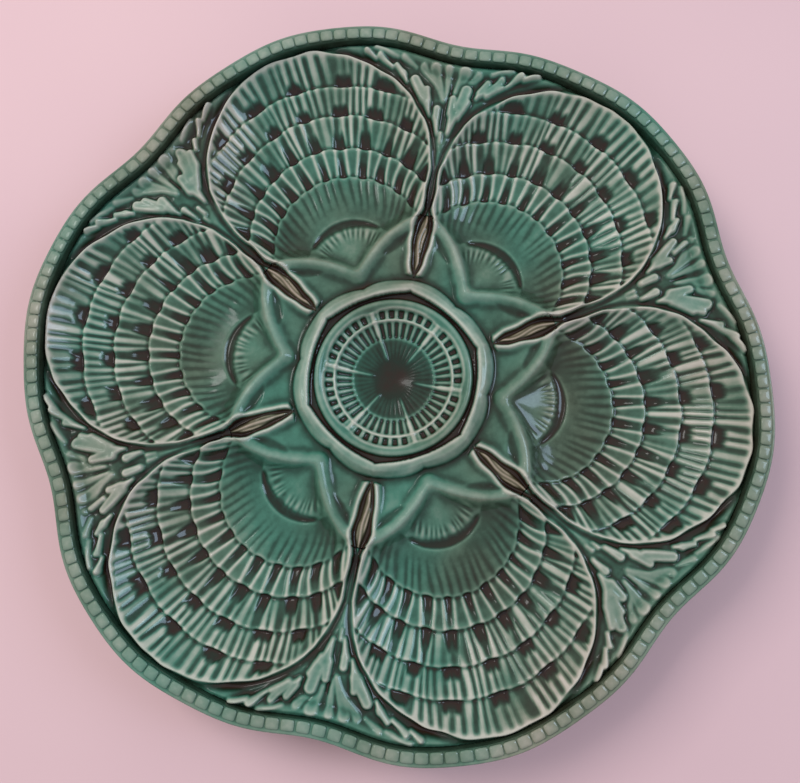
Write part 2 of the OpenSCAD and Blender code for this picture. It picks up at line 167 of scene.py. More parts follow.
def shellRelief(x, y, r, a, which):  # the carving inside a shell, and its tint: plus is darker, minus paler
    lift = fanLift * smooth(r, 21, 40)  # the ribs spread from a point that moves out with the rings
    rise = np.degrees(np.arctan2(x, np.maximum(y - lift, 0.5)))
    degrees = np.degrees(a)
    jitter = wobble(rise + 131 * which, r * 0.5, 15.0, 1)
    uneven = wobble(rise * 1.3 + 77 * which, r * 0.35, 9.0, 4)
    side = smooth(52 - np.abs(degrees), 0, 10)
    edges = [ringAt(0, a)]
    for k in range(1, 5):
        scallop = 0.34 * np.sin(math.pi / 2 * tilePhase(np.radians(rise), tiles[k - 1]["pitch"]))
        edges.append(ringAt(k, a) + scallop + 0.15 * wobble(degrees + 90 * which, r * 0, 16.0, 20 + k))
    edges.append(reach(a))

    # the smooth umbo, with fine rays under a dark crescent
    near = r - edges[0]
    rays = np.cos(2 * math.pi * (degrees + 2.4 * jitter) / 7.0)
    rayZone = bump(near, -5.0, 2.2) * side
    thick = np.clip(3.5 * np.cos(math.radians(1.8) * degrees), 0.3, 3.6)
    crescent = smooth(near, -thick - 1.1, -thick + 1.9) * smooth(44 - np.abs(degrees), 0, 9)
    out = 0.12 * rays * rayZone - 1.25 * crescent
    tint = -0.16 * rays * rayZone + 0.34 * crescent

    # the fan, then four rings of tiles, each climbing to its edge
    for k in range(5):
        low, high = edges[k], edges[k + 1]
        up = r - low
        span = np.maximum(high - low, 1.5)
        t = np.clip(up / span, 0, 1)
        scale = np.clip(span / 7.0, 0.45, 1.0)
        saw = shell["step"] * (-0.60 + 0.95 * t ** 0.8) * (1.0 if k else 0.75)
        crest = bump(high - r, 0.35, 0.55) if k < 4 else 0.0
        root = bump(up, 0.35, 0.5)
        if k == 0:
            rib = np.cos(2 * math.pi * (rise + 1.1 * jitter) / 6.0)
            grown = smooth(t, 0.1, 0.75)
            line = smooth(-rib, 0.55, 0.95) * grown
            here = saw * side + 0.06 * rib * grown - 0.04 * line
            tone = 0.09 + 0.08 * line - 0.04 * rib * grown - 0.12 * crest * side - 0.12 * root * side
        else:
            tile = tiles[k - 1]
            turn = rise + tile["wander"] * jitter
            number = np.round(rise / tile["pitch"]) * 11.0 + 200 * which  # each gap has its own
            q = tilePhase(np.radians(turn), tile["pitch"])
            arm = np.maximum(r - lift, 4.0)
            w = q / 2 * math.radians(tile["pitch"]) * arm  # from the middle of a gap, in millimetres
            half = tile["half"] * (1 - 0.3 * t) + 0.3 * wobble(number, r * 0, 20.0, 50 + k)
            ragged = tile["reach"] + 0.5 * wobble(w * 3 * np.sign(x), number, 2.5, 40 + k)
            fade = 1 - tile["closing"] * smooth(up, ragged - 0.7, ragged + tile["ease"])
            fade = fade * (0.35 + 0.65 * smooth(70 - np.abs(degrees), 0, 16))
            gap = smooth(half - w, -0.6, 0.45) * fade
            phase = turn / tile["pitch"] * tile["ribs"]
            wave = np.cos(2 * math.pi * (phase + 0.19 * np.clip(uneven, -1, 1) + 0.5))
            height = 0.78 + 0.34 * np.clip(jitter, -1, 0.7) + 0.16 * np.clip(uneven, -1, 1)
            ribs = smooth(wave, -0.4, 0.6) * height
            line = smooth(-wave, 0.35, 0.95) * (0.6 + 0.4 * np.clip(jitter, -1, 1))
            if k == 1:  # one rib on each side of a gap
                ribs = bump(w, tile["half"] + 0.75, 0.5)
                line = 0.0
            here = scale * (saw - tile["depth"] * gap + (0.24 * ribs - 0.14 * line) * (1 - gap))
            tone = 0.08 - 0.42 * ribs + 0.15 * line + 0.2 * root - 0.12 * crest
            tone = tone * (1 - gap) + 0.43 * gap
        weight = smooth(up, -0.35, 0.4)
        out = out * (1 - weight) + here * weight
        tint = tint * (1 - weight) + tone * weight
    return out, tint


shellDx, shellDy = wellX, wellY - shell["beak"]
shellR = np.hypot(shellDx, shellDy)
shellA = np.arctan2(shellDx, shellDy)
shellOpen = fanAngle(shellR)
shellReach = reach(np.clip(shellA, -earAngle, earAngle))
sideIn = (shellOpen - np.abs(shellA)) * np.maximum(shellR, 2.0)
shellIn = distanceOf(np.minimum(shellReach - shellR, sideIn))
tipIn = shellR * np.sin(np.clip(shellOpen - np.abs(shellA), -math.pi / 2, math.pi / 2))
shellIn = tipIn + (shellIn - tipIn) * smooth(shellR, 4.6, 7.0)

# two neighbouring shells keep apart, from the neck between them outwards
neckY = [60, 66, 74, 80, 85, 90, 95, 100, 104]
neckHalf = np.interp(podY, neckY, [0.9, 1.2, 1.5, 2.7, 4.4, 7.0, 10.8, 15.5, 21.0])
neckSlope = np.interp(podY, [60, 74, 80, 90, 104], [1.0, 1.01, 1.05, 1.12, 1.5])
neckIn = (np.abs(podX) - neckHalf) / neckSlope
shellIn = np.where(podY > neckY[0], np.minimum(shellIn, neckIn), shellIn)

climb = (shell["tipHeight"] - shell["beakHeight"]) / float(reach(0))
edgeLine = shell["beakHeight"] + climb * (wellY - shell["beak"])
across = np.clip(np.abs(shellA) / shellOpen, 0, 1)
along = np.clip(shellR / shellReach, 0, 1)
hollow = np.maximum(4 * along * (1 - along), 0) ** 0.7 * (1 - across ** 3.2) ** 0.8
shellTop = edgeLine - shell["depth"] * hollow
relief, shellTint = shellRelief(shellDx, shellDy, shellR, shellA, wellTurn % lobes)
beakZone = smooth(53.5 - wellY, 0, 5)
shellTop = shellTop + relief * smooth(shellIn, 0.3, 1.3)
shellTop = shellTop + shell["lip"] * bump(shellIn, 0.6, 0.5) * (1 - beakZone)
shellTint = shellTint * smooth(shellIn, 0.5, 1.4) - 0.24 * bump(shellIn, 0.6, 0.6) * (1 - beakZone)
print("stage: shells drawn")


def capsule(x, y, lobe):  # inside distance of a lobe that tapers from one round end to the other
    x0, y0, w0, x1, y1, w1 = lobe
    t = np.clip(((x - x0) * (x1 - x0) + (y - y0) * (y1 - y0)) / ((x1 - x0) ** 2 + (y1 - y0) ** 2), 0, 1)
    return w0 + (w1 - w0) * t - np.hypot(x - x0 - t * (x1 - x0), y - y0 - t * (y1 - y0))


def lens(x, y, start, end, half):  # inside distance of a leaf shape between two points
    dx, dy = end[0] - start[0], end[1] - start[1]
    size = math.hypot(dx, dy)
    t = ((x - start[0]) * dx + (y - start[1]) * dy) / size ** 2
    off = np.abs((x - start[0]) * dy - (y - start[1]) * dx) / size
    return half * 4 * t * (1 - t) - off


def lobesOf(points, x, y):
    total = np.full(x.shape, 1e-6)
    for lobe in points:
        total = total + np.exp(np.minimum(capsule(x, y, lobe), 20.0) / 0.22)  # a rounded union
    return 0.22 * np.log(total)


leaf = dict(height=1.6, edge=0.95, backHeight=0.8)

# the leaves' lobes, drawn from foot to tip: place, half width, place, half width
leafLobes = [
    [(-7.5, 95.2, 1.9, -11.9, 102.5, 1.25), (-6.4, 95.0, 1.4, -6.4, 99.0, 1.15),
     (-5.4, 91.4, 0.4, -6.8, 95.0, 1.6), (-8.4, 101.4, 0.9, -10.2, 106.0, 1.0),
     (-2.4, 88.2, 1.1, -2.7, 92.5, 1.3), (2.6, 86.6, 0.7, 2.0, 91.2, 1.35),
     (0.9, 82.0, 0.5, 0.9, 84.8, 0.7), (-0.8, 82.4, 0.4, -0.9, 85.0, 0.5),
     (4.6, 95.5, 1.9, 4.9, 101.5, 1.4), (5.3, 91.0, 0.5, 5.8, 95.5, 2.2),
     (7.6, 97.0, 2.3, 11.4, 104.7, 2.0), (9.5, 98.5, 2.0, 13.5, 103.1, 1.0),
     (7.2, 95.0, 1.4, 12.0, 99.8, 1.3), (-14.4, 100.8, 0.4, -16.3, 103.8, 1.1),
     (-16.0, 103.6, 1.1, -18.5, 106.5, 0.8), (-19.3, 105.3, 0.5, -24.6, 108.0, 1.0),
     (-26.4, 107.0, 0.5, -30.0, 109.0, 0.9), (15.8, 101.4, 0.4, 19.3, 106.4, 1.2),
     (19.0, 105.2, 0.7, 24.5, 109.1, 1.1), (24.5, 108.3, 0.6, 29.5, 110.4, 0.9)],
    [(-8.6, 96.8, 2.0, -12.7, 102.7, 1.6), (-7.9, 96.0, 1.8, -8.0, 100.1, 1.0),
     (-5.7, 91.2, 0.4, -7.7, 95.6, 1.6), (-3.2, 91.0, 1.2, -3.3, 93.6, 1.25),
     (-2.0, 85.6, 0.4, -3.1, 90.5, 1.1), (-0.4, 83.0, 0.4, -0.6, 86.0, 0.5),
     (1.9, 93.0, 1.6, 1.5, 98.0, 1.2), (4.3, 95.0, 1.9, 5.5, 101.6, 1.95),
     (1.7, 86.4, 0.6, 2.7, 93.0, 1.8), (4.0, 92.0, 1.0, 6.6, 97.5, 1.0),
     (9.2, 99.6, 0.5, 10.6, 101.8, 1.2), (10.2, 101.5, 1.3, 12.3, 105.4, 1.2),
     (12.4, 101.6, 1.2, 16.8, 107.0, 1.2), (12.4, 101.2, 0.9, 17.4, 104.8, 0.8),
     (18.6, 105.4, 0.5, 23.0, 109.3, 1.2), (24.0, 108.3, 0.5, 29.0, 110.4, 0.9),
     (-15.6, 101.6, 0.4, -17.2, 104.4, 1.0), (-16.8, 103.8, 0.9, -20.0, 106.8, 0.9),
     (-21.4, 106.0, 0.5, -26.2, 108.7, 1.0), (-27.6, 107.8, 0.4, -31.0, 109.4, 0.7)],
    [(-7.2, 94.2, 1.2, -7.0, 98.7, 1.55), (-8.8, 96.6, 1.7, -13.8, 103.9, 1.7),
     (-9.8, 99.5, 1.6, -10.9, 103.0, 1.3), (-6.4, 91.6, 0.4, -7.6, 95.2, 1.3),
     (-3.6, 85.8, 0.5, -4.2, 91.3, 1.0), (-0.3, 85.6, 0.6, -0.5, 88.5, 0.6),
     (-1.6, 82.6, 0.4, -1.6, 84.6, 0.4), (2.4, 94.2, 1.8, 3.1, 99.1, 1.5),
     (6.3, 97.4, 2.1, 9.5, 105.1, 2.0), (6.1, 99.4, 1.2, 6.6, 103.3, 0.9),
     (9.5, 99.5, 1.9, 11.9, 103.4, 1.1), (2.8, 88.6, 0.5, 3.3, 94.0, 1.9),
     (4.6, 93.4, 1.2, 9.4, 98.6, 1.4), (4.2, 96.0, 1.2, 5.6, 98.8, 1.3),
     (14.2, 102.8, 0.5, 16.2, 105.3, 0.9), (18.4, 105.6, 0.5, 22.0, 108.3, 0.9),
     (23.4, 107.8, 0.4, 28.4, 109.8, 0.8), (-16.8, 103.4, 0.5, -18.4, 105.2, 1.0),
     (-18.2, 104.9, 1.0, -20.9, 107.2, 0.9), (-22.2, 106.4, 0.5, -26.6, 109.0, 1.1),
     (-28.0, 108.6, 0.5, -31.5, 110.0, 0.8)],
    [(-7.0, 95.2, 1.5, -8.0, 100.8, 1.25), (-9.0, 98.0, 1.8, -14.4, 104.8, 1.6),
     (-5.9, 91.6, 0.4, -7.4, 95.6, 1.5), (-2.9, 87.6, 0.9, -3.6, 92.8, 1.3),
     (2.8, 87.4, 0.7, 2.9, 92.0, 1.3), (-1.5, 84.0, 0.4, -1.4, 86.0, 0.6),
     (0.7, 83.0, 0.4, 0.5, 85.2, 0.5), (5.2, 95.6, 1.8, 5.7, 100.8, 1.45),
     (5.0, 91.4, 0.4, 5.8, 95.4, 1.9), (8.5, 98.5, 2.2, 12.9, 105.9, 1.8),
     (8.4, 99.3, 1.3, 9.1, 103.5, 1.0), (10.4, 99.6, 1.9, 14.8, 104.0, 1.1),
     (6.6, 95.6, 1.2, 11.0, 99.4, 1.5), (17.2, 104.4, 0.5, 19.6, 107.0, 0.9),
     (21.2, 106.8, 0.5, 25.2, 109.2, 0.9), (26.0, 108.6, 0.4, 30.0, 110.4, 0.8),
     (-17.0, 103.2, 0.5, -18.8, 105.2, 1.0), (-18.6, 105.0, 1.0, -21.8, 107.3, 0.9),
     (-23.2, 106.9, 0.5, -27.6, 109.2, 1.0), (-28.8, 108.6, 0.4, -32.0, 110.2, 0.7)]]
leafKinds = [0, 1, 2, 0, 1, 3]
backLobes = [(-1.8, 97.0, 0.9, -6.4, 107.0, 2.1), (-3.5, 101.0, 1.0, -10.6, 107.2, 1.4),
             (-0.9, 98.0, 0.7, -1.7, 107.6, 1.5), (1.5, 98.5, 0.8, 4.0, 107.2, 2.3),
             (3.0, 101.5, 0.8, 8.8, 107.0, 1.4), (-13.0, 107.0, 0.7, -18.0, 109.4, 1.0),
             (-20.0, 109.2, 0.6, -28.0, 111.2, 0.9), (13.0, 108.0, 0.6, 20.0, 111.0, 1.0)]

groundTop = groundHeight(mapR)
rimOut = (outlineRadius(podA) - mapR) / np.sqrt(1 + outlineSlope(podA) ** 2)
rimIn = rimOut - rim["width"]
leafIn, backIn = np.full(mapR.shape, farOutside), np.full(mapR.shape, farOutside)
for podNumber in range(lobes):
    here = (podIndex == podNumber) & (mapR > 82) & (mapR < 118)
    leafIn[here] = 0.35 + lobesOf(leafLobes[leafKinds[podNumber]], podX[here], podY[here])
here = (mapR > 88) & (mapR < 118)
backIn[here] = lobesOf(backLobes, podX[here], podY[here])
outerPart = smooth(mapR, 78, 90)
leafTop = leaf["height"] * smooth(leafIn, -0.1, leaf["edge"]) - 0.3 * smooth(leafIn, 0.7, 1.9)
backTop = leaf["backHeight"] * smooth(backIn, -0.5, 0.9) - 0.15 * smooth(backIn, 0.5, 1.6)
slit = 0.8 * bump(podX, 0.25, 0.45) * smooth(podY, 96.5, 98.5) * smooth(103.5 - podY, 0, 2)
backTop = backTop - slit - 0.3 * smooth(leafIn, -1.3, -0.3)
onLeaf = smooth(leafIn, -0.3, 0.1)
groundTop = groundTop + outerPart * (leafTop * onLeaf + backTop * (1 - onLeaf) - 0.5)
gaps = smooth(-backIn, -0.4, 0.5) * (1 - onLeaf)
leafTint = (-0.04 - 0.07 * bump(leafIn, 0.35, 0.4)) * onLeaf + 0.2 * gaps - 0.02 * (1 - onLeaf)
leafTint = outerPart * leafTint

# the ground round the shells: a dark groove outside, a soft ridge with a dimple behind it at the beak
outside = -shellIn
groundTop = groundTop - 0.9 * bump(outside, 1.05, 1.0) * (1 - beakZone) * (mapR > 50)
inner = smooth(60 - mapR, 0, 4)
wing = plate["hub"] + 1.1 * smooth(mapR, 37, 47)
ridge = (edgeLine - wing) * smooth(4.6 - outside, 0, 4.6)
dimpleIn = np.maximum(lens(podX, podY, (-4.6, 50.0), (-12.4, 41.4), 1.7),
                      lens(podX, podY, (4.4, 51.0), (11.6, 42.4), 1.7))
dimple = smooth(dimpleIn, -1.1, 0.9)
hubTop = wing + np.maximum(ridge, 0) - 0.5 * dimple
groundTop = groundTop + (hubTop - groundTop) * inner * beakZone
groundTop = groundTop + 2.5 * smooth(5.0 - rimIn, 0, 4.0) - 0.7 * bump(rimIn, 0.45, 0.6)

# a bud in a pit on each notch's line, its kernel curled like a seed, and a raised line round it
bud = dict(start=35.3, end=57.5, neckEnd=66.0, rise=1.0, top=15.2, sink=1.3, kernel=1.1, curl=0.3)
budY = [35.3, 36.2, 38, 40, 45, 50, 52.5, 55, 58, 60, 65]
budHalf = np.interp(podY, budY, [0.0, 0.9, 1.5, 2.0, 2.6, 3.1, 3.3, 2.9, 1.6, 1.1, 0.9])
budHalf = budHalf + 0.15 * wobble(podY, podTurn * 40, 5.0, 5)
pitIn = np.minimum(budHalf - np.abs(podX), (podY - bud["start"]) * 1.5)
pitIn = np.where((podY > bud["start"]) & (podY < bud["neckEnd"]), pitIn, farOutside)
budIn = np.where(podY < bud["end"], pitIn, farOutside)
budBase = np.minimum(groundHeight(mapR) + bud["rise"], bud["top"])
bend = 0.4 * np.sin(podY * 0.33 + podTurn * 1.9) * smooth(podY, 38, 42)
kernelHalf = np.interp(podY, [37.0, 40, 45, 50, 54, 60], [0.0, 0.8, 1.3, 1.6, 1.3, 0.0])
kernelIn = kernelHalf - np.abs(podX - bend)
curls = np.cos(2 * math.pi * (podX - bend) / 1.3 + 1.6 * np.sin(podY * 0.4 + podTurn))
kernel = (bud["kernel"] + bud["curl"] * curls) * smooth(kernelIn, -0.3, 0.5)
budTop = budBase - bud["sink"] * smooth(pitIn, -0.2, 0.9) + kernel
line = 0.5 * bump(pitIn, -0.7, 0.6) + 0.7 * smooth(pitIn, -3.4, -0.4) * (1 - smooth(pitIn, -0.4, 0.1))
budZone = smooth(pitIn, -3.6, -1.0) * smooth(62 - podY, 0, 3) * (podY > 34.0)
hubLine = np.maximum(groundTop, budBase)
groundTop = groundTop + (hubLine + line * smooth(62 - podY, 0, 4) - groundTop) * budZone * (mapR > 36)
inPit = smooth(pitIn, -0.35, 0.1) * smooth(bud["neckEnd"] - podY, 0, 4)
groundTop = groundTop + (np.minimum(groundTop, budTop) - groundTop) * inPit
budTint = 0.16 * (1 - smooth(kernelIn, -0.3, 0.4)) * inPit - 0.04 * smooth(kernelIn, -0.2, 0.5) * inPit
budTint = budTint - 0.18 * curls * smooth(kernelIn, -0.2, 0.4)
budTint = budTint - 0.22 * bump(pitIn, -0.8, 0.8) * smooth(62 - podY, 0, 4) * (podY > 35.5)

# shells, ground and buds come together, melted into one another at the beaks
rough = 0.38 * wobble(mapX, mapY, 9.0, 3)
onShell = smooth(shellIn - rough * (1 - beakZone), -0.1, 0.4) * smooth(-pitIn, 0.1, 0.6)
onShell = onShell * smooth(shellR, 0.3, 2.6)
plateTop = groundTop + (shellTop - groundTop) * onShell
grooveTint = 0.2 * bump(outside, 1.1, 0.9) * (1 - beakZone) * (mapR > 60) + 0.12 * bump(rimIn, 0.6, 0.7)
leafTint = leafTint + grooveTint
beakTint = 0.04 * inner * beakZone * (1 - onShell) * dimple * smooth(-pitIn, 0.6, 1.4)
tint = leafTint + budTint + (shellTint - leafTint - budTint) * onShell + beakTint
melt = inner * beakZone * smooth(4.2 - np.abs(shellIn), 0, 2.5) * smooth(-pitIn, 1.0, 2.2)
plateTop = plateTop + (soften(plateTop, 1.0) - plateTop) * melt
print("stage: ground, leaves and buds drawn")

# the middle: a collar of petals, and a fluted well inside it
collar = dict(petal=34.6, notch=2.2, cusp=29.6, arc=1.8, crest=17.0, foot=0.6, inner=27.3, groove=13.9)
sauce = dict(mouth=27.8, top=15.4, floor=8.4, cells=42, flutes=45, cut=1.1, fluteCut=0.9)


def petalRadius(a):
    return collar["petal"] - collar["notch"] * (1 - np.abs(np.cos(3 * a)) ** 0.8)


petalEdge = petalRadius(podA)
cuspEdge = collar["cusp"] - collar["arc"] * np.abs(np.sin(3 * podA)) ** 0.6
share = (mapR - cuspEdge) / (petalEdge - cuspEdge)
lift = np.interp(share, [-0.06, 0.04, 0.2, 0.5, 0.8, 1.0], [0.72, 0.93, 1.0, 0.86, 0.45, 0.0])
ripple = 0.32 * np.cos(6 * podA + 2.4 * share) + 0.2 * np.sin(12 * podA + 3.5 * share)
collarTop = plate["hub"] + (collar["crest"] - plate["hub"]) * lift + ripple * smooth(share, 0.15, 0.5)
deep = sauce["top"] - sauce["floor"]
shares = [0, 0.223, 0.491, 0.507, 0.524, 0.697, 0.719, 0.742, 0.825, 0.853, 0.875, 0.903, 0.942, 0.97, 0.99]
drops = [0, 0.06, 0.16, 0.23, 0.2, 0.52, 0.66, 0.6, 0.72, 0.84, 0.94, 1.0, 0.97, 0.8, 0.45]
sauceTop = sauce["floor"] + deep * np.interp(mapR / sauce["mouth"], shares, drops)
turn = mapA / (2 * math.pi)
cells = smooth(np.cos(2 * math.pi * turn * sauce["cells"] + math.pi), -0.5, 0.35)
cellRing = smooth(mapR, 20.3, 20.9) * smooth(23.3 - mapR, 0, 0.6)
flutes = smooth(np.cos(2 * math.pi * turn * sauce["flutes"] + math.pi), -0.6, 0.6)
fluteRing = smooth(mapR, 13.6, 15.0) * smooth(19.6 - mapR, 0, 0.9)
spokeHalf = np.interp(mapR, [5.5, 8, 13.6, 14.3, 16, 23.4], [0, 0.4, 0.5, 0.35, 0.75, 0.9])
spoke = smooth(spokeHalf - np.abs(mapR * np.sin(wellA)), -0.35, 0.35)
spoke = spoke * smooth(mapR, 5.6, 7.6) * smooth(23.7 - mapR, 0, 0.9)
streaks = np.cos(2 * math.pi * turn * sauce["flutes"])
streaks = streaks * smooth(mapR, 4.0, 9.0) * smooth(14.5 - mapR, 0, 3)
scallopLine = 0.5 * bump(mapR, 23.75 - 0.7 * np.abs(np.cos(3 * wellA)) ** 6, 0.45)
carved = sauce["cut"] * cells * cellRing + sauce["fluteCut"] * flutes * fluteRing
sauceTop = sauceTop - carved * (1 - spoke)
sauceTop = sauceTop + spoke * 0.5 + 0.08 * streaks - 0.5 * smooth(8.0 - mapR, 0, 7) + scallopLine
paleRing = bump(mapR, 19.9, 0.45) + 0.7 * bump(mapR, 13.7, 0.4) + 1.3 * scallopLine
walls = (1 - cells) * cellRing + 0.7 * (1 - flutes) * fluteRing
sauceTint = 0.34 * smooth(15.5 - mapR, 0, 4) + 0.34 * smooth(11.0 - mapR, 0, 9) - 0.07 * streaks
sauceTint = sauceTint + 0.1 * (cellRing + fluteRing) + 0.14 * smooth(mapR, 24.0, 24.6)
paleSpoke = 0.36 * spoke * smooth(mapR, 5, 9)
sauceTint = sauceTint - np.maximum(0.25 * np.clip(walls + paleRing, 0, 1), paleSpoke)
collarFrom = cuspEdge + 0.15
middleTop = np.where(mapR < 27.2, sauceTop, collar["groove"])
plateTop = np.where(mapR < collarFrom, middleTop, plateTop)
onCollar = (mapR >= collarFrom) & (share < 1.0)
plateTop = np.where(onCollar, np.maximum(collarTop, plate["hub"] - 0.3), plateTop)
valley = 0.2 * bump(share, 1.2, 0.25) * (mapR < 40) * (pitIn < -1.4)
plateTop = plateTop - valley

plateTop = np.where(rimIn < 0, groundHeight(mapR) - 0.5, plateTop)
print("stage: middle drawn")

# glaze rounds every edge, fills the hollows and lies thin on the ridges
coat = dict(rounding=0.24, near=0.85, wide=2.4, fill=0.22, plain=0.42, knee=0.62, ease=0.45)
bare = soften(plateTop, coat["rounding"])
near = soften(plateTop, coat["near"]) - bare
wide = soften(plateTop, coat["wide"]) - bare
topMap = bare + coat["fill"] * np.clip(near, 0, 0.9)
pool = np.where(near > 0, 0.85 * near, 0.34 * near) + np.where(wide > 0, 0.14 * wide, 0.05 * wide)
tint = np.where(mapR > 35.5, tint, 0.0) + sauceTint * smooth(25.5 - mapR, 0, 1)
tint = tint + 0.26 * smooth(mapR, 26.4, 27.0) * smooth(cuspEdge - mapR, -0.1, 0.5)
tint = tint - 0.07 * smooth(share, 0.04, 0.14) * smooth(1.02 - share, 0, 0.2)
leafPart = smooth(mapR, 80, 90) * (1 - smooth(shellIn, -0.5, 0.5))
depth = coat["plain"] + pool + soften(tint, 0.25) - 0.06 * leafPart
over = depth - coat["knee"]
glazeMap = np.clip(np.where(over > 0, coat["knee"] + coat["ease"] * over, depth), 0, 1.1)
print("stage: glaze pooled")


def readMap(values, x, y):
    fx, fy = (x + mapHalf) / mapPitch, (y + mapHalf) / mapPitch
    i, j = np.clip(fx.astype(int), 0, len(mapAxis) - 2), np.clip(fy.astype(int), 0, len(mapAxis) - 2)
    u, v = fx - i, fy - j
    return ((values[j, i] * (1 - u) + values[j, i + 1] * u) * (1 - v)
            + (values[j + 1, i] * (1 - u) + values[j + 1, i + 1] * u) * v)


def newPiece(name, points, edges, faces, glaze):  # points in millimetres, each with its depth of glaze
    mesh = bpy.data.meshes.new(name)
    mesh.from_pydata((np.asarray(points) * mm).tolist(), edges, faces)
    depths = mesh.attributes.new("glazeDepth", "FLOAT", "POINT")
    depths.data.foreach_set("value", np.asarray(glaze, np.float32))
    piece = bpy.data.objects.new(name, mesh)
    bpy.context.scene.collection.objects.link(piece)
    return piece


def smoothFaces(piece):
    piece.data.polygons.foreach_set("use_smooth", [True] * len(piece.data.polygons))


def solidPiece(name, points, faces, glaze, sharp=()):
    piece = newPiece(name, points, [], faces, glaze)
    smoothFaces(piece)
    mesh = piece.data
    ends = np.zeros(len(mesh.edges) * 2, int)
    mesh.edges.foreach_get("vertices", ends)
    wanted = {tuple(sorted(pair)) for pair in sharp}
    pairs = np.sort(ends.reshape(-1, 2), axis=1).tolist()
    mesh.edges.foreach_set("use_edge_sharp", [tuple(pair) in wanted for pair in pairs])
    mesh.validate()
    return piece


def loopOf(faces):  # the top's open edges, each as a pair of points with the top on its left
    used = set()
    for face in faces:
        for n in range(len(face)):
            used.add((face[n], face[(n + 1) % len(face)]))
    return [e for e in used if (e[1], e[0]) not in used]


def inOrder(edges):
    after = dict(edges)
    start = edges[0][0]
    ring = [start]
    while after[ring[-1]] != start:
        ring.append(after[ring[-1]])
    return ring


def bodyFloor(x, y):
    return underHeight(x, y) + plate["skin"]


def slab(name, x, y, faces, top, glaze, low):  # a closed piece whose back repeats its top's layout
    n = len(x)
    rimEdges = loopOf(faces)
    points = np.concatenate([np.stack([x, y, top], 1), np.stack([x, y, low], 1)])
    walls = [(a, a + n, b + n, b) for a, b in rimEdges]
    backs = [tuple(v + n for v in reversed(f)) for f in faces]
    return solidPiece(name, points, faces + walls + backs, np.concatenate([glaze, glaze]), rimEdges)


def mapSlab(name, x, y, faces, tops=topMap):
    return slab(name, x, y, faces, readMap(tops, x, y), readMap(glazeMap, x, y), bodyFloor(x, y))


def dish(name, x, y, faces, centre, shares, tone=0.3):  # a closed piece with a plainer back
    n = len(x)
    rimEdges = loopOf(faces)
    ring = inOrder(rimEdges)
    count = len(ring)
    points = [np.stack([x, y, readMap(topMap, x, y)], 1)]
    for s in shares:
        bx = centre[0] + s * (x[ring] - centre[0])
        by = centre[1] + s * (y[ring] - centre[1])
        points.append(np.stack([bx, by, bodyFloor(bx, by)], 1))
    bx, by = np.array([centre[0]]), np.array([centre[1]])
    points.append(np.stack([bx, by, bodyFloor(bx, by)], 1))
    points = np.concatenate(points)
    extra = []
    for k in range(len(shares)):
        for m in range(count):
            g = (m + 1) % count
            a, b = (ring[m], ring[g]) if k == 0 else (n + (k - 1) * count + m, n + (k - 1) * count + g)
            extra.append((a, n + k * count + m, n + k * count + g, b))
    last = n + (len(shares) - 1) * count
    extra += [(last + m, len(points) - 1, last + (m + 1) % count) for m in range(count)]
    tones = np.concatenate([readMap(glazeMap, x, y), np.full(len(points) - n, tone)])
    return solidPiece(name, points, faces + extra, tones, rimEdges)


def gridFaces(rowCount, count, closed=False, flip=False):
    faces = []
    for j in range(rowCount - 1):
        for i in range(count if closed else count - 1):
            g = (i + 1) % count
            f = (j * count + i, j * count + g, (j + 1) * count + g, (j + 1) * count + i)
            faces.append(f[::-1] if flip else f)
    return faces


def setInput(modifier, tree, values):
    for item in tree.interface.items_tree:
        if item.item_type == "SOCKET" and item.in_out == "INPUT" and item.name in values:
            modifier[item.identifier] = values[item.name]


def settle(piece, tree, values):  # runs a node tree on the piece, whose result becomes a plain mesh
    modifier = piece.modifiers.new(tree.name, "NODES")
    modifier.node_group = tree
    setInput(modifier, tree, values)
    view = bpy.context.evaluated_depsgraph_get()
    made = bpy.data.meshes.new_from_object(piece.evaluated_get(view), depsgraph=view)
    piece.modifiers.clear()
    piece.data = made
    smoothFaces(piece)


def newTree(name, sockets):
    tree = bpy.data.node_groups.new(name, "GeometryNodeTree")
    tree.interface.new_socket(name="Geometry", in_out="INPUT", socket_type="NodeSocketGeometry")
    for label, kind in sockets:
        tree.interface.new_socket(name=label, in_out="INPUT", socket_type="NodeSocket" + kind)
    tree.interface.new_socket(name="Geometry", in_out="OUTPUT", socket_type="NodeSocketGeometry")
    return tree, tree.nodes.new("NodeGroupInput"), tree.nodes.new("NodeGroupOutput")


def mathNode(tree, operation, *values):
    node = tree.nodes.new("ShaderNodeMath")
    node.operation = operation
    for n, value in enumerate(values):
        if isinstance(value, (int, float)):
            node.inputs[n].default_value = value
        else:
            tree.links.new(value, node.inputs[n])
    return node.outputs[0]


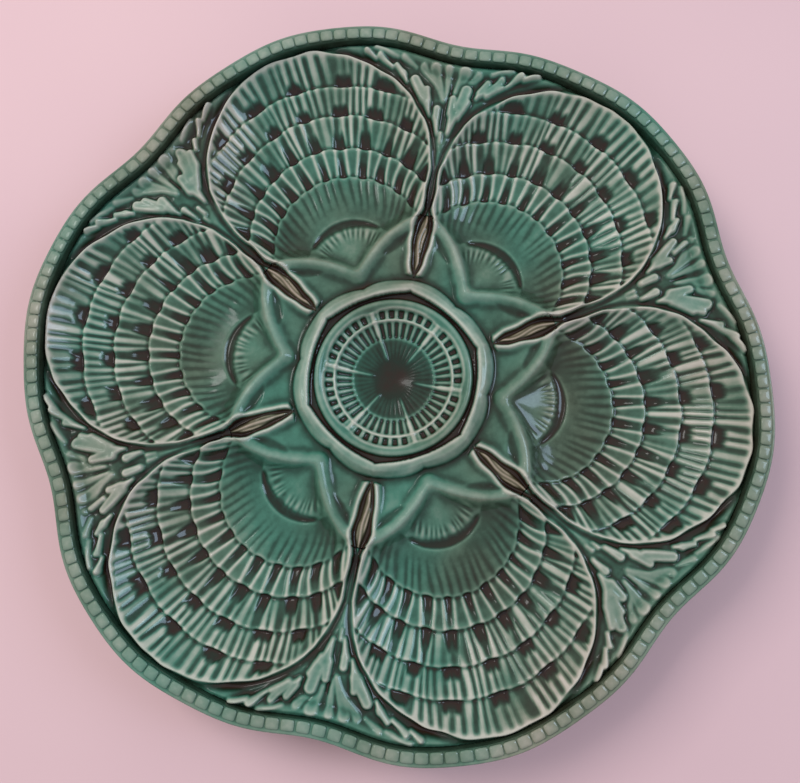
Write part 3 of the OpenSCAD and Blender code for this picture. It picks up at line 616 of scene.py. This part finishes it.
def lobedPath(tree, start):  # a closed path whose radius follows the plate's lobes
    circle = tree.nodes.new("GeometryNodeCurvePrimitiveCircle")
    tree.links.new(start.outputs["Steps"], circle.inputs["Resolution"])
    circle.inputs["Radius"].default_value = 1.0
    index = tree.nodes.new("GeometryNodeInputIndex").outputs[0]
    angle = mathNode(tree, "DIVIDE", mathNode(tree, "MULTIPLY", index, 2 * math.pi), start.outputs["Steps"])
    radius = start.outputs["Mean Radius"]
    terms = [("Swell", "COSINE", 1, -1.0), ("Lean", "SINE", 1, 1.0), ("Pinch", "COSINE", 2, -1.0),
             ("Pinch", "COSINE", 3, -rim["sharp"])]
    for label, wave, order, share in terms:
        part = mathNode(tree, wave, mathNode(tree, "MULTIPLY", angle, float(lobes * order)))
        part = mathNode(tree, "MULTIPLY", mathNode(tree, "MULTIPLY", part, start.outputs[label]), share)
        radius = mathNode(tree, "ADD", radius, part)
    spot = tree.nodes.new("ShaderNodeCombineXYZ")
    tree.links.new(mathNode(tree, "MULTIPLY", radius, mathNode(tree, "COSINE", angle)), spot.inputs["X"])
    tree.links.new(mathNode(tree, "MULTIPLY", radius, mathNode(tree, "SINE", angle)), spot.inputs["Y"])
    place = tree.nodes.new("GeometryNodeSetPosition")
    tree.links.new(circle.outputs["Curve"], place.inputs["Geometry"])
    tree.links.new(spot.outputs[0], place.inputs["Position"])
    upright = tree.nodes.new("GeometryNodeSetCurveNormal")
    upright.mode = "Z_UP"
    tree.links.new(place.outputs[0], upright.inputs[0])
    return upright.outputs[0]


def finishTree(tree, start, end, geometry):
    real = tree.nodes.new("GeometryNodeRealizeInstances")
    glaze = tree.nodes.new("GeometryNodeSetMaterial")
    tree.links.new(geometry, real.inputs[0])
    tree.links.new(real.outputs[0], glaze.inputs["Geometry"])
    tree.links.new(start.outputs["Glaze"], glaze.inputs["Material"])
    tree.links.new(glaze.outputs[0], end.inputs[0])
    return tree


pathSockets = [("Mean Radius", "Float"), ("Swell", "Float"), ("Lean", "Float"), ("Pinch", "Float"),
               ("Steps", "Int"), ("Glaze", "Material")]


def sweepTree():  # sweeps the modified object's own outline round a lobed path
    tree, start, end = newTree("lobedSweep", pathSockets)
    path = lobedPath(tree, start)
    section = tree.nodes.new("GeometryNodeMeshToCurve")
    sweep = tree.nodes.new("GeometryNodeCurveToMesh")
    tree.links.new(start.outputs["Geometry"], section.inputs["Mesh"])
    tree.links.new(path, sweep.inputs["Curve"])
    tree.links.new(section.outputs[0], sweep.inputs["Profile Curve"])
    return finishTree(tree, start, end, sweep.outputs[0])


def rowTree():  # sets copies of the modified object in a row along a lobed path
    tree, start, end = newTree("lobedRow", pathSockets + [("Count", "Int")])
    path = lobedPath(tree, start)
    spots = tree.nodes.new("GeometryNodeCurveToPoints")
    spots.mode = "COUNT"
    tree.links.new(path, spots.inputs["Curve"])
    tree.links.new(start.outputs["Count"], spots.inputs["Count"])
    align = tree.nodes.new("FunctionNodeAlignRotationToVector")
    align.axis = "X"
    align.pivot_axis = "Z"
    tree.links.new(spots.outputs["Tangent"], align.inputs["Vector"])
    place = tree.nodes.new("GeometryNodeInstanceOnPoints")
    tree.links.new(spots.outputs["Points"], place.inputs["Points"])
    tree.links.new(start.outputs["Geometry"], place.inputs["Instance"])
    tree.links.new(align.outputs[0], place.inputs["Rotation"])
    return finishTree(tree, start, end, place.outputs[0])


def cutPatch(inside, pitch, box):  # a grid whose border is drawn onto the line where inside is zero
    x0, x1, y0, y1 = box
    gridX, gridY = np.meshgrid(np.arange(x0, x1 + pitch, pitch), np.arange(y0, y1 + pitch, pitch))
    shape = gridX.shape
    x, y = gridX.ravel().copy(), gridY.ravel().copy()
    gy, gx = np.gradient(inside, mapPitch)
    s = readMap(inside, x, y)
    close = np.abs(s) < 0.55 * pitch
    for _ in range(2):
        u, v = readMap(gx, x, y), readMap(gy, x, y)
        steep = np.maximum(u * u + v * v, 0.3)
        value = readMap(inside, x, y)
        x = np.where(close, x - value * u / steep, x)
        y = np.where(close, y - value * v / steep, y)
    keep = ((s > 0) | close).reshape(shape)
    border = close.reshape(shape)
    number = np.arange(x.size).reshape(shape)
    corners = [(slice(None, -1), slice(None, -1)), (slice(None, -1), slice(1, None)),
               (slice(1, None), slice(1, None)), (slice(1, None), slice(None, -1))]
    kept = np.stack([keep[c] for c in corners], -1)
    onBorder = np.stack([border[c] for c in corners], -1)
    ids = np.stack([number[c] for c in corners], -1)
    whole = kept.all(-1) & ~onBorder.all(-1)
    three = (kept.sum(-1) == 3) & ((kept & onBorder).sum(-1) < 3)
    faces = ids[whole].tolist()
    for corner, held in zip(ids[three].tolist(), kept[three].tolist()):
        faces.append([v for v, k in zip(corner, held) if k])
    used = np.unique(np.concatenate([np.array(f) for f in faces]))
    again = np.full(x.size, -1)
    again[used] = np.arange(len(used))
    return x[used], y[used], [tuple(again[f].tolist()) for f in map(np.array, faces)]


def turned(x, y, a):
    return x * math.cos(a) - y * math.sin(a), x * math.sin(a) + y * math.cos(a)


def squareAt(radius, a, half):  # a box on the map, round a point given by its radius and angle
    x, y = radius * math.cos(a), radius * math.sin(a)
    return [float(np.clip(v, -123, 123)) for v in (x - half, x + half, y - half, y + half)]


def crowd(n, power):  # steps from 0 to 1 that close up towards 1
    return 1 - (1 - np.linspace(0, 1, n)) ** power


rowShares = 1 - (1 - np.linspace(0.012, 1, shell["rows"])) ** 1.12
half = crowd(shell["columns"] // 2, 1.12)
gridU, gridS = np.meshgrid(np.concatenate([-half[:0:-1], half]), rowShares)
a = gridU * fanAngle(earReach * gridS)
r = gridS * reach(gridU * earAngle)
shells = []
for k in range(lobes):
    x, y = turned(r * np.sin(a), shell["beak"] + r * np.cos(a), sector * k)
    tipX, tipY = turned(0.0, shell["beak"], sector * k)
    x, y = np.append(x.ravel(), tipX), np.append(y.ravel(), tipY)
    faces = gridFaces(*gridU.shape)
    faces += [(x.size - 1, i + 1, i) for i in range(gridU.shape[1] - 1)]
    centre = turned(0.0, shell["middle"], sector * k)
    shells.append(dish(f"shellWell{k + 1}", x, y, faces, centre, [1.0, 0.8, 0.6, 0.4, 0.2]))
print("stage: shell wells built")

seam = 80.0  # the radius where the leaf sprays take over from the ground
underTip = 2.0 - shellR  # the ground runs on a little way under each shell's tip
groundIn = np.minimum(np.maximum(-shellIn, underTip), rimIn)
groundIn = np.minimum(groundIn, np.minimum(mapR - petalEdge - collar["foot"], -budIn))
groundMap = topMap - 0.12 * smooth(shellIn, 0.1, 0.5)
x, y, faces = cutPatch(np.minimum(groundIn, seam - mapR), 0.32, squareAt(0, 0, seam + 1))
ground = mapSlab("plateGround", x, y, faces, groundMap)
sprays, buds = [], []
for k in range(lobes):
    offX, offY = turned(mapX, mapY, -sector * k)
    angle = np.abs(np.arctan2(offY, offX))
    sprayIn = np.minimum(groundIn, mapR - seam)
    sprayIn = np.minimum(sprayIn, (sector / 2 - angle) * mapR)
    x, y, faces = cutPatch(sprayIn, 0.3, squareAt(105, sector * k, 66))
    sprays.append(mapSlab(f"leafSpray{k + 1}", x, y, faces))
    oneBud = np.where(angle < 0.3, budIn, farOutside)
    x, y, faces = cutPatch(oneBud, 0.2, squareAt(47, sector * k, 14))
    buds.append(mapSlab(f"bud{k + 1}", x, y, faces))
print("stage: ground, leaf sprays and buds built")


def circleOf(columns):
    return np.linspace(0, 2 * math.pi, columns, endpoint=False)


def polarLayout(rings, a, middle):  # rings of points round the axis, closed by a middle point or left open
    x = np.concatenate([r * np.cos(a) for r in rings] + [[0.0]] * middle)
    y = np.concatenate([r * np.sin(a) for r in rings] + [[0.0]] * middle)
    faces = gridFaces(len(rings), len(a), closed=True, flip=True)
    if middle:
        faces += [(x.size - 1, i, (i + 1) % len(a)) for i in range(len(a))]
    return x, y, faces


a = circleOf(900)
outer = petalRadius(a) + collar["foot"]
rings = [collar["inner"] + t * (outer - collar["inner"]) for t in np.linspace(0, 1, 34)]
collarPiece = mapSlab("centreCollar", *polarLayout(rings, a, False))
a = circleOf(540)
rings = [np.full(len(a), r) for r in np.linspace(0.6, collar["inner"], 110)]
wellPiece = mapSlab("sauceWell", *polarLayout(rings, a, True))
print("stage: middle built")

a = circleOf(720)
outer = outlineRadius(a - sector * np.round(a / sector)) - rim["width"]
x, y, faces = polarLayout([s * outer for s in list(np.linspace(0.01, 0.99, 96)) + [1.0]], a, True)
low = underHeight(x, y)
backTones = 0.25 + 0.1 * wobble(x, y, 30.0, 9)
back = slab("plateBack", x, y, faces, low + plate["skin"], backTones, low)
print("stage: back built")


def closedOutline(name, outline):  # a cross-section as a closed line: outwards, up, depth of glaze
    count = len(outline)
    points = [(out, -up, 0.0) for out, up, _ in outline]
    edges = [(n, (n + 1) % count) for n in range(count)]
    return newPiece(name, points, edges, [], [tone for _, _, tone in outline])


# glazes: their colour follows how deep the glaze lies
def noiseOf(tree, place, scale, detail, roughness=0.5):
    noise = tree.nodes.new("ShaderNodeTexNoise")
    noise.inputs["Scale"].default_value = scale
    noise.inputs["Detail"].default_value = detail
    noise.inputs["Roughness"].default_value = roughness
    tree.links.new(place, noise.inputs["Vector"])
    return noise.outputs["Fac"]


def linear(rgb):
    return [c / 255 / 12.92 if c / 255 < 0.04045 else ((c / 255 + 0.055) / 1.055) ** 2.4 for c in rgb]


def rampOf(tree, value, positions, colours):
    ramp = tree.nodes.new("ShaderNodeValToRGB")
    band = ramp.color_ramp
    while len(band.elements) > 1:
        band.elements.remove(band.elements[-1])
    band.elements[0].position = positions[0]
    band.elements[0].color = (*linear(colours[0]), 1)
    for position, colour in zip(positions[1:], colours[1:]):
        band.elements.new(position).color = (*linear(colour), 1)
    tree.links.new(value, ramp.inputs["Fac"])
    return ramp.outputs["Color"]


toneDepths = [0.0, 0.12, 0.28, 0.42, 0.58, 0.75, 0.9, 1.0]
greenTones = [(173, 177, 163), (147, 161, 145), (103, 134, 118), (64, 113, 95),
              (37, 74, 60), (24, 39, 28), (42, 27, 19), (28, 17, 13)]
warmTones = [(188, 172, 160), (168, 150, 138), (136, 124, 106), (98, 92, 72),
             (62, 58, 42), (44, 35, 24), (44, 28, 20), (28, 17, 13)]


def glazeTone():  # from the depth of the glaze to its colour, mottled
    tree = bpy.data.node_groups.new("glazeTone", "ShaderNodeTree")
    tree.interface.new_socket(name="Depth", in_out="INPUT", socket_type="NodeSocketFloat")
    tree.interface.new_socket(name="Warmth", in_out="INPUT", socket_type="NodeSocketFloat")
    tree.interface.new_socket(name="Color", in_out="OUTPUT", socket_type="NodeSocketColor")
    start, end = tree.nodes.new("NodeGroupInput"), tree.nodes.new("NodeGroupOutput")
    place = tree.nodes.new("ShaderNodeTexCoord").outputs["Object"]
    broad, fine = noiseOf(tree, place, 45, 2), noiseOf(tree, place, 320, 3, 0.6)
    shift = mathNode(tree, "MULTIPLY", mathNode(tree, "SUBTRACT", broad, 0.5), 0.3)
    speck = mathNode(tree, "MULTIPLY", mathNode(tree, "SUBTRACT", fine, 0.5), 0.2)
    depth = mathNode(tree, "ADD", mathNode(tree, "ADD", start.outputs["Depth"], shift), speck)
    patch = mathNode(tree, "SUBTRACT", noiseOf(tree, place, 26, 2), 0.5)
    mix = tree.nodes.new("ShaderNodeMix")
    mix.data_type = "RGBA"
    share = mathNode(tree, "MULTIPLY_ADD", patch, 1.6, start.outputs["Warmth"])
    tree.links.new(share, mix.inputs["Factor"])
    tree.links.new(rampOf(tree, depth, toneDepths, greenTones), mix.inputs["A"])
    tree.links.new(rampOf(tree, depth, toneDepths, warmTones), mix.inputs["B"])
    tree.links.new(mix.outputs["Result"], end.inputs["Color"])
    return tree


toneGroup = glazeTone()


def makeGlaze(name, warmth, deeper=0.0, roughness=0.14):
    material = bpy.data.materials.new(name)
    material.use_nodes = True
    tree = material.node_tree
    surface = tree.nodes["Principled BSDF"]
    depth = tree.nodes.new("ShaderNodeAttribute")
    depth.attribute_name = "glazeDepth"
    tone = tree.nodes.new("ShaderNodeGroup")
    tone.node_tree = toneGroup
    tree.links.new(mathNode(tree, "ADD", depth.outputs["Fac"], deeper), tone.inputs["Depth"])
    tone.inputs["Warmth"].default_value = warmth
    tree.links.new(tone.outputs["Color"], surface.inputs["Base Color"])
    surface.inputs["Roughness"].default_value = roughness
    surface.inputs["IOR"].default_value = 1.46
    surface.inputs["Specular IOR Level"].default_value = 0.38
    surface.inputs["Coat Weight"].default_value = 0.2
    surface.inputs["Coat Roughness"].default_value = 0.04
    return material


glazes = dict(green=makeGlaze("greenGlaze", 0.1), shell=makeGlaze("shellGlaze", 0.25),
              leaf=makeGlaze("leafGlaze", 0.15), bud=makeGlaze("budGlaze", 1.0),
              rim=makeGlaze("rimGlaze", 0.35), collar=makeGlaze("collarGlaze", 0.12),
              sauce=makeGlaze("sauceGlaze", 0.15, roughness=0.2), back=makeGlaze("backGlaze", 0.6, -0.1))

# the rim: a moulded border swept round the lobed outline, with a row of blocks in it
sweep, row = sweepTree(), rowTree()
rimLine = [(-4.8, 15.82, 0.3), (-4.8, 19.0, 0.72), (-4.8, 23.6, 0.66), (-4.7, 24.2, 0.56),
           (-4.5, 24.8, 0.48), (-4.2, 25.1, 0.44), (-3.0, 25.25, 0.46), (-1.5, 25.25, 0.44),
           (-1.2, 25.22, 0.4), (-1.0, 25.26, 0.37), (-0.85, 25.34, 0.35), (-0.6, 25.36, 0.34),
           (-0.35, 25.24, 0.36), (-0.12, 24.9, 0.4), (0.0, 24.35, 0.43), (-0.02, 23.4, 0.42),
           (-0.25, 21.9, 0.4), (-0.75, 19.8, 0.38), (-1.4, 17.8, 0.34), (-2.1, 16.4, 0.3),
           (-2.5, 15.9, 0.3)]
lobeValues = {"Mean Radius": (rim["mean"] - plate["inset"]) * mm, "Swell": rim["swell"] * mm,
              "Lean": rim["lean"] * mm, "Pinch": rim["pinch"] * mm, "Steps": rim["steps"],
              "Glaze": glazes["rim"]}
rimPiece = closedOutline("rimBorder", rimLine)
settle(rimPiece, sweep, lobeValues)

# one block: levels of a rounded oblong, each with its height, size and depth of glaze
bead = dict(count=162, length=4.24, width=3.5, middle=3.02, top=25.82, topTone=0.25, sides=16)
levels = [(25.0, 1.0, 0.5), (25.42, 0.99, 0.39), (25.68, 0.89, 0.31), (25.8, 0.55, 0.29)]
sides = bead["sides"]
block, blockTone = [], []
for z, size, tone in levels:
    for n in range(sides):
        t = 2 * math.pi * n / sides
        px = bead["length"] / 2 * math.copysign(abs(math.cos(t)) ** 0.36, math.cos(t)) * size
        py = bead["width"] / 2 * math.copysign(abs(math.sin(t)) ** 0.42, math.sin(t)) * size
        block.append((px, bead["middle"] + py, z))
        blockTone.append(tone)
block.append((0, bead["middle"], bead["top"]))
blockTone.append(bead["topTone"])
faces = gridFaces(len(levels), sides, closed=True)
top = (len(levels) - 1) * sides
faces += [(top + n, top + (n + 1) % sides, len(block) - 1) for n in range(sides)]
faces.append(tuple(reversed(range(sides))))
beadPiece = solidPiece("rimBeading", block, faces, blockTone)
settle(beadPiece, row, dict(lobeValues, Count=bead["count"]))

# the foot: a plain ring, its lower face wiped bare of glaze
footLine = [(0.0, 5.0, 0.5), (0.0, 2.2, 0.3), (-0.3, 0.9, 0.15), (-0.8, 0.22, 0.0), (-1.4, 0.0, -1.0),
            (-5.6, 0.0, -1.0), (-6.2, 0.22, 0.0), (-6.7, 0.9, 0.15), (-7.0, 2.2, 0.3), (-7.0, 5.0, 0.5)]
footValues = {"Mean Radius": foot["outer"] * mm, "Swell": 0.0, "Lean": 0.0, "Pinch": 0.0,
              "Steps": foot["steps"], "Glaze": glazes["back"]}
footPiece = closedOutline("footRing", footLine)
settle(footPiece, sweep, footValues)
print("stage: rim and foot built")

plan = [(ground, "green", "green_glaze", ["plate_body"]), (back, "back", "back_glaze", ["plate_body"]),
        (collarPiece, "collar", "collar_glaze", ["centre_collar"]),
        (wellPiece, "sauce", "sauce_glaze", ["sauce_well"]),
        (rimPiece, "rim", "rim_glaze", ["rim_border"]), (beadPiece, "rim", "rim_glaze", ["rim_beading"]),
        (footPiece, "back", "back_glaze", ["foot_ring"])]
for k in range(lobes):
    plan.append((shells[k], "shell", "shell_glaze", [f"shell_well_{k + 1}"]))
    plan.append((sprays[k], "leaf", "leaf_glaze", [f"leaf_spray_{k + 1}"]))
    plan.append((buds[k], "bud", "bud_glaze", [f"bud_{k + 1}"]))
for piece, glaze, slotName, nodes in plan:
    piece.data.materials.clear()
    piece.data.materials.append(glazes[glaze])
    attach(piece, "root")
    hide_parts(*nodes)
print("stage: glazes set")


# the photo's camera, fitted to the notches of the rim and the cusps of the collar
tilt, lean, spin = math.radians(-7.875), math.radians(-10.51), math.radians(18.74)
toCamera = (Matrix.Rotation(-lean, 3, "Z") @ Matrix.Rotation(tilt, 3, "X") @ Matrix.Rotation(lean, 3, "Z")
            @ Matrix.Rotation(spin, 3, "Z"))
toWorld = toCamera.transposed()
away = Vector((-1.98, 3.03, -271.6)) * 0.976 * mm
camera = bpy.data.objects.new("camera", bpy.data.cameras.new("camera"))
bpy.context.scene.collection.objects.link(camera)
camera.matrix_world = Matrix.Translation(-(toWorld @ away)) @ toWorld.to_4x4()
camera.data.lens = 33.65
camera.data.sensor_width = 36
camera.data.clip_start = 0.01
bpy.context.scene.camera = camera


# plain soft light, a table top and pale surroundings
def areaLight(name, spot, size, power, colour, shine=True):
    light = bpy.data.lights.new(name, "AREA")
    light.shape = "RECTANGLE"
    light.size, light.size_y = size
    light.energy = power
    light.color = colour
    lamp = bpy.data.objects.new(name, light)
    bpy.context.scene.collection.objects.link(lamp)
    place = toWorld @ Vector(spot)
    lamp.location = place
    lamp.rotation_euler = (-place).to_track_quat("-Z", "Y").to_euler()
    lamp.visible_glossy = shine


areaLight("key", (-0.6, 0.55, 0.75), (0.5, 0.5), 8.4, (1.0, 0.97, 0.94), shine=False)
areaLight("glint", (-0.4, 0.35, 0.85), (0.16, 0.16), 0.42, (1.0, 0.98, 0.96))
areaLight("window", (0.8, 0.25, 0.75), (0.4, 0.6), 4.4, (0.6, 0.78, 1.0))

floorMesh = bpy.data.meshes.new("floor")
floorMesh.from_pydata([(-1.5, -1.5, 0), (1.5, -1.5, 0), (1.5, 1.5, 0), (-1.5, 1.5, 0)], [], [(0, 1, 2, 3)])
floor = bpy.data.objects.new("floor", floorMesh)
bpy.context.scene.collection.objects.link(floor)
cloth = bpy.data.materials.new("tableTop")
cloth.use_nodes = True
tree = cloth.node_tree
place = tree.nodes.new("ShaderNodeTexCoord").outputs["Object"]
clothTone = rampOf(tree, noiseOf(tree, place, 5, 2), [0.3, 0.7], [(212, 180, 182), (204, 172, 176)])
tree.links.new(clothTone, tree.nodes["Principled BSDF"].inputs["Base Color"])
tree.nodes["Principled BSDF"].inputs["Roughness"].default_value = 0.6
floorMesh.materials.append(cloth)

world = bpy.data.worlds.new("studio")
bpy.context.scene.world = world
world.use_nodes = True
world.node_tree.nodes["Background"].inputs["Color"].default_value = (0.95, 0.93, 1.0, 1)
world.node_tree.nodes["Background"].inputs["Strength"].default_value = 0.54
bpy.context.scene.view_settings.view_transform = "Standard"
